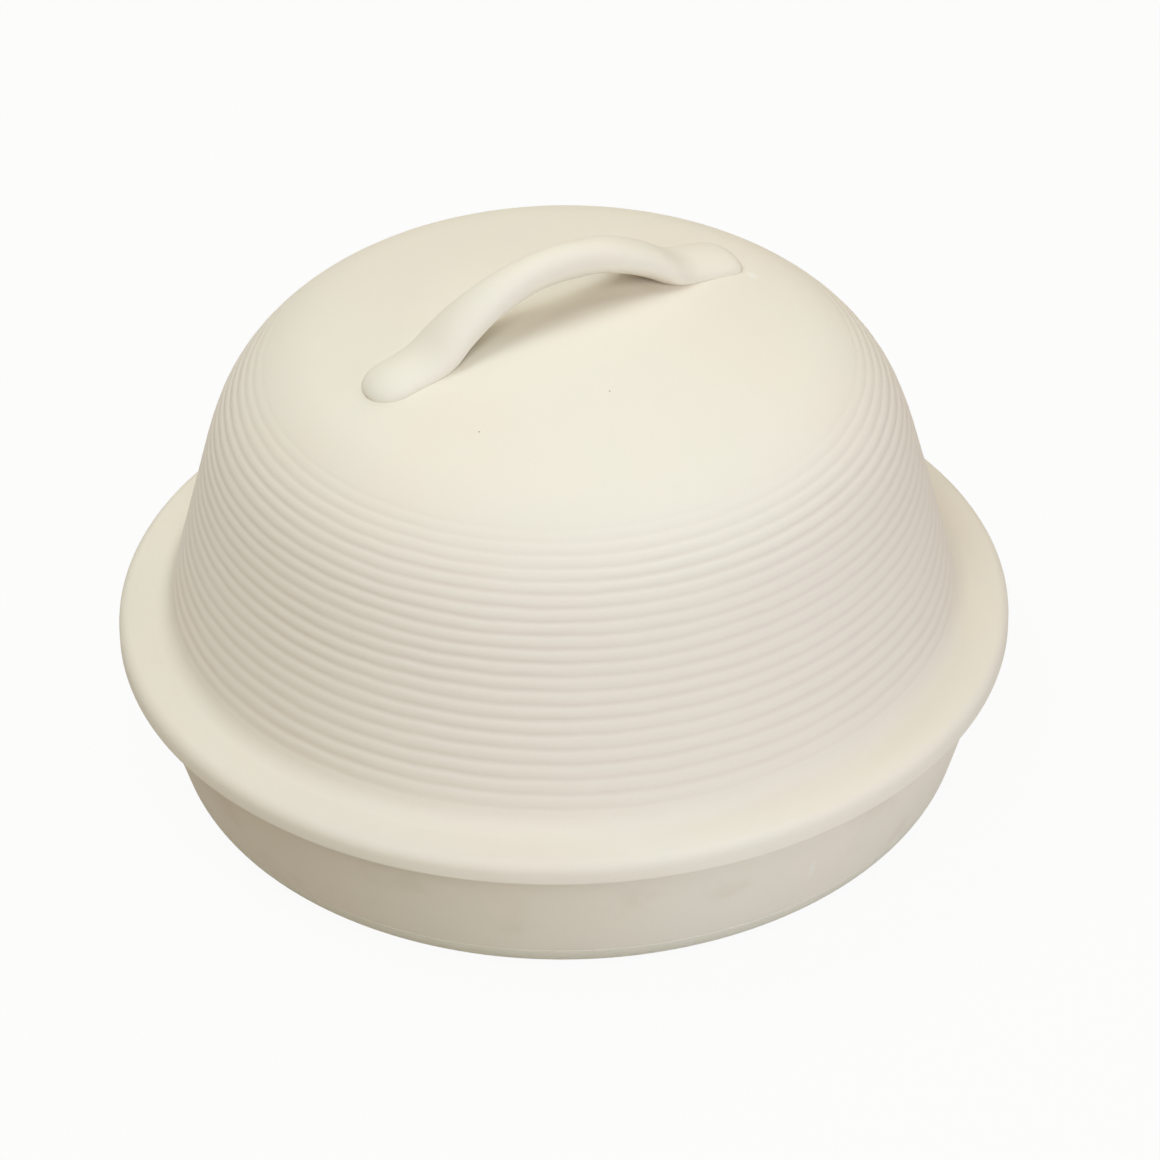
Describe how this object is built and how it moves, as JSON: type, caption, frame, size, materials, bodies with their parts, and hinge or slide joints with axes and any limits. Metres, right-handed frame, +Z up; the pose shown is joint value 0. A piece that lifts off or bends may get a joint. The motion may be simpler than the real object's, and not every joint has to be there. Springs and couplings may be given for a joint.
{
  "type": "bread cloche",
  "caption": "Round stoneware bread cloche: a shallow leaning-walled dish under a ribbed dome lid with a rounded brim and a clay strap handle across its crown.",
  "frame": {"origin": "centre of the dish's underside, level with the surface that it stands on", "axes": "+Z up along the dish's and dome's common axis, +X along the lid's strap handle"},
  "size_m": [0.3, 0.3, 0.1923],
  "materials": {
    "dish_clay": "unglazed cream stoneware, matt, slightly sandy",
    "lid_clay": "unglazed cream stoneware, matt, with throwing rings",
    "handle_clay": "unglazed cream stoneware, sponged smooth"
  },
  "bodies": {
    "dish": {"base_dish": "dish_clay"},
    "lid": {"dome_lid": "lid_clay", "lid_handle": "handle_clay"}
  },
  "joints": [
    {"name": "lid_lift", "type": "slide", "parent": "dish", "child": "lid", "axis": [0, 0, 1], "range_m": [0, 0.2]}
  ]
}
